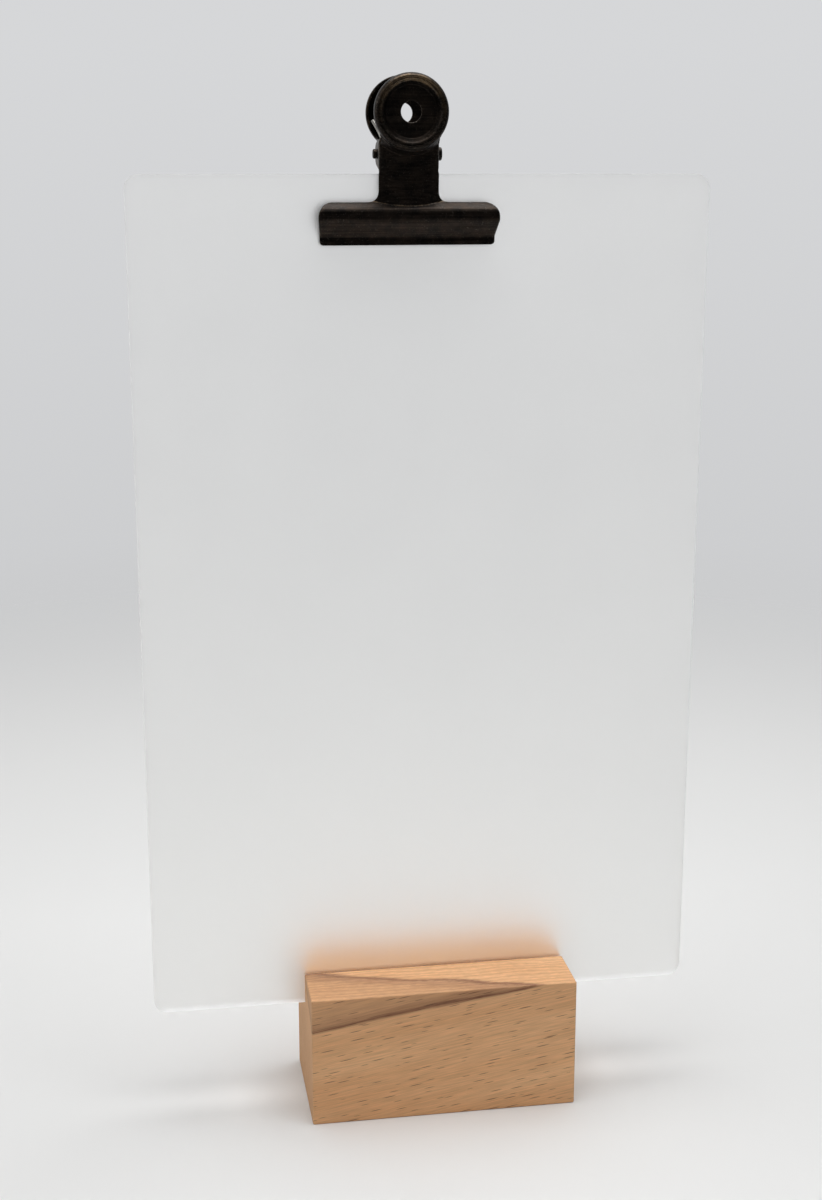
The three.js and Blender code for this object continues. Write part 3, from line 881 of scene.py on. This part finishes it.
def add_jaw(grid, neck_foot, spread):
    """Adds the jaw below the neck's lowest row."""
    inner = grid.neck_half + NECK_FILLET
    levels = jaw_levels()
    rows = []
    for level, z in enumerate(levels):
        half = jaw_half_width(z)
        outer = [inner + (half - inner) * k / SIDE_COLUMNS for k in range(1, SIDE_COLUMNS + 1)]
        places = [-x for x in reversed(outer)] + [c * inner for c in spread] + outer
        row = []
        for k, x in enumerate(places):
            at_edge = level in (0, len(levels) - 1) or k in (0, len(places) - 1)
            if level == 0 and SIDE_COLUMNS <= k < SIDE_COLUMNS + len(spread):
                row.append(neck_foot[k - SIDE_COLUMNS])
            else:
                row.append(grid.add_on_plate(x, z, EDGE_WEAR * at_edge))
        rows.append(row)
    grid.add_faces(rows)


print("the jaw has", len(jaw_levels()), "rows")

# %% [markdown]
# Each ear is a flat tab, folded back from the neck's edge: straight along tangents to a round end about the
# rivet. Rings of points shrink from this outline to the rivet's hole.

# %% Ears
EAR_RINGS = 6
EAR_STEP = 0.8
EAR_ARC_POINTS = 26


def add_ear(grid, side, fold):
    """Adds an ear at a side of the neck, from the points where it folds."""
    x = side * (grid.neck_half - PLATE / 2)
    top = np.array(grid.points[fold[0]][1:])
    bottom = np.array(grid.points[fold[-1]][1:])
    turn_top = math.atan2(top[1], top[0]) + math.acos(EAR_RADIUS / np.linalg.norm(top))
    turn_bottom = math.atan2(bottom[1], bottom[0]) - math.acos(EAR_RADIUS / np.linalg.norm(bottom)) + math.tau
    turns = np.linspace(turn_top, turn_bottom, EAR_ARC_POINTS)
    arc = [EAR_RADIUS * np.array((math.cos(a), math.sin(a))) for a in turns]
    rim = with_short_steps(np.array([top, *arc, bottom]), EAR_STEP)[1:-1]
    # Every ear point gets worn finish plus a painted reflection of the bright backdrop.
    boundary = list(reversed(fold)) + [grid.add(x, d, z, EAR_WEAR_AND_REFLECTION) for d, z in rim]
    loops = [boundary]
    for ring in range(1, EAR_RINGS + 1):
        share = ring / EAR_RINGS
        loop = []
        for index in boundary:
            d, z = grid.points[index][1:]
            hole = EAR_HOLE * np.array((d, z)) / math.hypot(d, z)
            loop.append(grid.add(x, d + (hole[0] - d) * share, z + (hole[1] - z) * share, EAR_WEAR_AND_REFLECTION))
        loops.append(loop)
    grid.add_faces([loop + loop[:1] for loop in loops])


# %% [markdown]
# The patches are put together for each plate. The rear plate is the front one turned half round, with a
# narrower neck, so that its ears run inside the front plate's ears.

# %% Plates from their grids
SMOOTH_LEVELS = 1


def plate_grid(neck_half):
    grid = PlateGrid(neck_half)
    rim = add_disc(grid)
    neck_foot, spread, folds = add_neck(grid, rim[:NECK_COLUMNS + 1])
    add_jaw(grid, neck_foot, spread)
    for side, fold in folds.items():
        add_ear(grid, side, fold)
    creases = [crease_wear(x, z, neck_half) for x, depth, z in grid.points]
    grid.wear = [max(pair) for pair in zip(grid.wear, creases)]
    return grid


def clip_plate(name, neck_half, side, body, node):
    """One half of the clip. Side is 1 for the front plate and -1 for the rear plate, turned half round."""
    grid = plate_grid(neck_half)
    placed = [(pin_centre.x + side * x, -side * depth, pin_centre.z + z) for x, depth, z in grid.points]
    plate = piece_from(name, placed, grid.faces, bronze)
    rub_and_highlight = plate.data.attributes.new("wear", "FLOAT", "POINT")
    rub_and_highlight.data.foreach_set("value", grid.wear)
    merge_and_face_out(plate.data)
    thickness = plate.modifiers.new("plate thickness", "SOLIDIFY")
    thickness.thickness = PLATE * MM
    thickness.offset = 0
    smooth = plate.modifiers.new("rounded edges", "SUBSURF")
    smooth.levels = SMOOTH_LEVELS
    smooth.render_levels = SMOOTH_LEVELS
    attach(plate, body)
    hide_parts(node)
    print(name, len(grid.points), "points in its grid,", count_triangles(plate), "triangles")


clip_plate("front_plate", NECK_HALF, 1, "front_jaw", "clip_front_jaw")
clip_plate("rear_plate", NECK_HALF - PLATE - EAR_GAP, -1, "rear_jaw", "clip_rear_jaw")

# %% [markdown]
# ## Rivet
# The rivet has a domed head at the right and a smaller peened tail at the left. Its outline is spun about
# the clip's cross axis, which keeps both ends perfectly round.

# %% Rivet
RIVET_RADIUS = 1.3
HEAD_RADIUS = 2.2
TAIL_RADIUS = 1.6
RIVET_EDGE = 0.45
RIVET_SIDES = 48
EDGE_STEPS = 6

shoulder = NECK_HALF + EAR_GAP
tail_tip = pin_low.x - pin_centre.x
head_tip = pin_high.x - pin_centre.x
profile = rounded_path(
    [
        (tail_tip, 0, 0), (tail_tip, TAIL_RADIUS, RIVET_EDGE), (-shoulder, TAIL_RADIUS, 0),
        (-shoulder, RIVET_RADIUS, 0), (shoulder, RIVET_RADIUS, 0),
        (shoulder, HEAD_RADIUS, 0), (head_tip, HEAD_RADIUS, RIVET_EDGE), (head_tip, 0, 0),
    ],
    EDGE_STEPS,
)
vertices = []
for x, radius in profile:
    for turn in np.arange(RIVET_SIDES) * math.tau / RIVET_SIDES:
        vertices.append((pin_centre.x + x, radius * math.cos(turn), pin_centre.z + radius * math.sin(turn)))
faces = []
for ring in range(len(profile) - 1):
    for k in range(RIVET_SIDES):
        following = (k + 1) % RIVET_SIDES
        faces.append((
            ring * RIVET_SIDES + k, ring * RIVET_SIDES + following,
            (ring + 1) * RIVET_SIDES + following, (ring + 1) * RIVET_SIDES + k,
        ))
rivet = piece_from("clip_rivet", vertices, faces, bronze)
merge_and_face_out(rivet.data)
rivet.data.set_sharp_from_angle(angle=math.radians(40))
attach(rivet, "clip_core")
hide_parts("clip_hinge_pin")
print("rivet", count_triangles(rivet), "triangles")

# %% [markdown]
# ## Torsion spring
# The spring is one wire: a leg, a coil round the rivet, and a second leg. Geometry Nodes draw half
# of it, a leg and half the coil, from named sizes: a curve that bends outwards above the ears and a
# spiral are joined into one path, and a round section is swept along it. The other half is the same
# shape turned half round. Neither half is attached to a plate.

# %% Node tree of half a spring
WIRE_RADIUS = 0.6
COIL_RADIUS = 2.7
TURN_PITCH = 1.75
WHOLE_TURNS = 7
LEG_TIP = Vector((8.05, 11.0))
LEG_SPLAY = 4.0
KNEE_RISE = 4.6
POINTS_PER_TURN = 40
WIRE_SIDES = 16

leg_length = math.sqrt(LEG_TIP.length_squared - COIL_RADIUS ** 2)
leg_lean = math.acos(COIL_RADIUS / LEG_TIP.length) - math.atan2(LEG_TIP.y, LEG_TIP.x)
half_turns = WHOLE_TURNS / 2 + (math.pi - 2 * leg_lean) / (2 * math.tau)
leg_foot = -COIL_RADIUS * math.sin(leg_lean)
knee_length = leg_length * (KNEE_RISE - leg_foot) / (LEG_TIP.y - leg_foot)


def half_spring_tree():
    tree = bpy.data.node_groups.new("half_torsion_spring", "GeometryNodeTree")
    sockets = {}
    for name, kind in (
        ("Coil radius", "Float"), ("Turns", "Float"), ("Height", "Float"),
        ("Leg length", "Float"), ("Knee length", "Float"), ("Leg splay", "Float"),
        ("Wire radius", "Float"), ("Material", "Material"),
    ):
        sockets[name] = tree.interface.new_socket(name, in_out="INPUT", socket_type="NodeSocket" + kind)
    tree.interface.new_socket("Geometry", in_out="OUTPUT", socket_type="NodeSocketGeometry")
    given = add_node(tree, "NodeGroupInput").outputs
    coil = add_node(
        tree, "GeometryNodeCurveSpiral",
        {
            "Resolution": POINTS_PER_TURN, "Rotations": given["Turns"], "Start Radius": given["Coil radius"],
            "End Radius": given["Coil radius"], "Height": given["Height"],
        },
    ).outputs[0]
    leg_points = []
    for back, aside in ((given["Leg length"], given["Leg splay"]), (given["Knee length"], 0.0), (0.0, 0.0)):
        y = add_node(tree, "ShaderNodeMath", {0: back, 1: -1}, operation="MULTIPLY").outputs[0]
        z = add_node(tree, "ShaderNodeMath", {0: aside, 1: -1}, operation="MULTIPLY").outputs[0]
        point = add_node(
            tree, "ShaderNodeCombineXYZ", {"X": given["Coil radius"], "Y": y, "Z": z}
        ).outputs[0]
        leg_points.append(point)
    tip, knee, foot = leg_points
    leg = add_node(
        tree, "GeometryNodeCurveQuadraticBezier",
        {"Resolution": POINTS_PER_TURN, "Start": tip, "Middle": knee, "End": foot},
    ).outputs[0]
    paths = add_node(tree, "GeometryNodeJoinGeometry").inputs[0]
    for path in (coil, leg):
        edges = add_node(tree, "GeometryNodeCurveToMesh", {"Curve": path}).outputs[0]
        tree.links.new(edges, paths)
    joined = add_node(
        tree, "GeometryNodeMergeByDistance", {"Geometry": paths.node.outputs[0], "Distance": 0.01 * MM}
    ).outputs[0]
    wire_path = add_node(tree, "GeometryNodeMeshToCurve", {"Mesh": joined}).outputs[0]
    circle = add_node(
        tree, "GeometryNodeCurvePrimitiveCircle", {"Resolution": WIRE_SIDES, "Radius": given["Wire radius"]}
    ).outputs[0]
    wire = add_node(
        tree, "GeometryNodeCurveToMesh", {"Curve": wire_path, "Profile Curve": circle, "Fill Caps": True}
    ).outputs[0]
    smooth = add_node(tree, "GeometryNodeSetShadeSmooth", {"Geometry": wire}).outputs[0]
    real = add_node(tree, "GeometryNodeRealizeInstances", {"Geometry": smooth}).outputs[0]
    painted = add_node(
        tree, "GeometryNodeSetMaterial", {"Geometry": real, "Material": given["Material"]}
    ).outputs[0]
    add_node(tree, "NodeGroupOutput", {"Geometry": painted})
    return tree, {name: socket.identifier for name, socket in sockets.items()}


print("half a spring has", round(half_turns, 2), "turns and a leg of", round(leg_length, 1), "mm")

# %% [markdown]
# The node tree runs once on a seed object, and its mesh is kept. Each half is a copy of it, stood on the
# rivet's axis.

spring_tree, spring_inputs = half_spring_tree()
half_coil = half_turns * TURN_PITCH
seed = piece_from("spring_seed", [(0, 0, 0)], [], spring_wire)
winding = seed.modifiers.new("winding", "NODES")
winding.node_group = spring_tree
for name, value in (
    ("Coil radius", COIL_RADIUS * MM), ("Turns", half_turns), ("Height", half_coil * MM),
    ("Leg length", leg_length * MM), ("Knee length", knee_length * MM), ("Leg splay", LEG_SPLAY * MM),
    ("Wire radius", WIRE_RADIUS * MM), ("Material", spring_wire),
):
    winding[spring_inputs[name]] = value
wound = seed.evaluated_get(bpy.context.evaluated_depsgraph_get())
half_mesh = bpy.data.meshes.new_from_object(wound)
bpy.data.objects.remove(seed)

turn = math.pi + leg_lean
outward = Vector((0, math.cos(turn), math.sin(turn)))
onward = Vector((0, -math.sin(turn), math.cos(turn)))
stand = Matrix((outward, onward, Vector((-1, 0, 0)))).transposed().to_4x4()
to_clip = Matrix.Translation(pin_centre * MM)
for name, side, body in (("spring_front_half", 1, "front_jaw"), ("spring_rear_half", -1, "rear_jaw")):
    mesh = half_mesh.copy()
    half_round = Matrix.Rotation(0 if side == 1 else math.pi, 4, "Z")
    mesh.transform(to_clip @ half_round @ Matrix.Translation((half_coil * MM, 0, 0)) @ stand)
    merge_and_face_out(mesh)
    spring = bpy.data.objects.new(name, mesh)
    scene.collection.objects.link(spring)
    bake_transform(spring)
    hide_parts("clip_torsion_spring")
    print(name, count_triangles(spring), "triangles")

# %% [markdown]
# ## Floor and light
# The object stands on plain pale paper. A round floor fades out into the background, so that no edge shows
# from any side. A wide softbox above gives the top faces their light, a panel lights the left
# side, and the room in front stays dim, which keeps the dark metal dark.

# %% Floor
FLOOR_RADIUS = 1.6
FLOOR_SIDES = 96
FADE_CENTRE = (0, 0.12, 0)
FADE_START = 0.25
FADE_END = 0.95
PAPER_COLOUR = "#e8e8e7"


def pale_paper():
    material, tree = empty_material("pale_paper")
    place = add_node(tree, "ShaderNodeTexCoord").outputs["Object"]
    away = add_node(
        tree, "ShaderNodeVectorMath", {0: place, 1: FADE_CENTRE}, operation="DISTANCE"
    ).outputs["Value"]
    fade = add_node(
        tree, "ShaderNodeMapRange", {0: away, 1: FADE_START, 2: FADE_END, 3: 0, 4: 1},
        interpolation_type="SMOOTHSTEP",
    ).outputs[0]
    paper = add_node(tree, "ShaderNodeBsdfDiffuse", {"Color": linear(PAPER_COLOUR)}).outputs[0]
    gone = add_node(tree, "ShaderNodeBsdfTransparent").outputs[0]
    shader = add_node(tree, "ShaderNodeMixShader", {0: fade, 1: paper, 2: gone})
    add_node(tree, "ShaderNodeOutputMaterial", {"Surface": shader.outputs[0]})
    return material


turns = np.linspace(0, math.tau, FLOOR_SIDES + 1)[:-1]
rim = [(FLOOR_RADIUS / MM * math.cos(a), FLOOR_RADIUS / MM * math.sin(a), 0) for a in turns]
floor = piece_from("floor", rim, [tuple(range(FLOOR_SIDES))], pale_paper())
print("floor", 2 * FLOOR_RADIUS, "m across")

# %% [markdown]
# The backdrop is pale wherever it is seen. Shiny metal also mirrors it, but only behind the object: the room
# on the camera's side is dim, so that the clip's front stays nearly black.

# %% Background
PALE_LOW, PALE_HIGH = 0.63, 0.69
SOFT = 0.2
DIM = 0.09
SKY_COLOUR = "#fcfdff"

world = bpy.data.worlds.new("studio")
scene.world = world
world.use_nodes = True
world.cycles.sampling_method = "NONE"
tree = world.node_tree
tree.nodes.clear()
ray = add_node(tree, "ShaderNodeLightPath").outputs
toward = add_node(tree, "ShaderNodeTexCoord").outputs["Generated"]
toward = add_node(tree, "ShaderNodeSeparateXYZ", {0: toward}).outputs
pale = add_node(
    tree, "ShaderNodeMapRange", {0: toward["Z"], 1: -0.2, 2: 0.06, 3: PALE_LOW, 4: PALE_HIGH}
).outputs[0]
behind = add_node(tree, "ShaderNodeMapRange", {0: toward["Y"], 1: -0.1, 2: 0.6, 3: 0, 4: 1}).outputs[0]
mirrored = add_node(tree, "ShaderNodeMix", {0: behind, 2: DIM, 3: pale}).outputs[0]
seen = add_node(
    tree, "ShaderNodeMath", {0: ray["Is Camera Ray"], 1: ray["Is Transmission Ray"]}, operation="MAXIMUM"
).outputs[0]
level = add_node(tree, "ShaderNodeMix", {0: ray["Is Glossy Ray"], 2: SOFT, 3: mirrored}).outputs[0]
level = add_node(tree, "ShaderNodeMix", {0: seen, 2: level, 3: pale}).outputs[0]
sky = add_node(tree, "ShaderNodeBackground", {"Color": linear(SKY_COLOUR), "Strength": level})
add_node(tree, "ShaderNodeOutputWorld", {"Surface": sky.outputs[0]})
print("backdrop", PALE_LOW, "to", PALE_HIGH)

# %% [markdown]
# Two area lights stand in for a studio's softboxes. Small lamps would draw hard shadows and sharp glints on
# the metal, and the picture shows neither.

# %% Softboxes
def add_softbox(name, place, aim, size, watts):
    data = bpy.data.lights.new(name, "AREA")
    data.shape = "RECTANGLE"
    data.size, data.size_y = size
    data.energy = watts
    box = bpy.data.objects.new(name, data)
    box.location = place
    box.rotation_euler = (Vector(aim) - Vector(place)).to_track_quat("-Z", "Y").to_euler()
    box.visible_camera = False
    scene.collection.objects.link(box)


add_softbox("softbox_above", place=(0.12, -0.02, 1.5), aim=(0.12, -0.02, 0), size=(1.2, 1.1), watts=19.3)
add_softbox("panel_left", place=(-1.1, -0.1, 0.8), aim=(0, 0, 0.2), size=(0.8, 0.8), watts=2.5)
scene.view_settings.view_transform = "Standard"
scene.cycles.use_denoising = True
